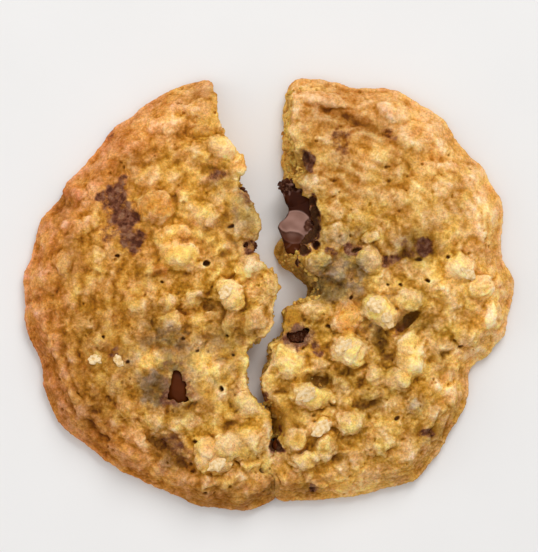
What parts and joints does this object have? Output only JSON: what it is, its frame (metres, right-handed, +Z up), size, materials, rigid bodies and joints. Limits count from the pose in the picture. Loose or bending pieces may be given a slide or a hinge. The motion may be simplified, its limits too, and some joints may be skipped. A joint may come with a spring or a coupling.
{
  "type": "oatmeal chocolate chip cookie",
  "caption": "Round, thin, lumpy oatmeal cookie with melted chocolate chips, torn across the middle; its halves stay together at one end of the tear.",
  "frame": {"origin": "middle of the cookie's footprint, on its flat base", "axes": "+Z up from the base; the tear runs along Y and gapes at +Y; +X across the tear, towards the right half"},
  "size_m": [0.1104, 0.0973, 0.0122],
  "materials": {
    "dough": "rough golden-brown baked dough",
    "chocolate": "dark chocolate, satin where it melted and set"
  },
  "bodies": {
    "root": {"half_left": "dough", "half_right": "dough", "melted_chip": "chocolate", "chip_window": "chocolate", "chip_crack": "chocolate", "chip_right_tear": "chocolate", "chip_left_tear": "chocolate", "chip_left_back": "chocolate"}
  },
  "joints": []
}
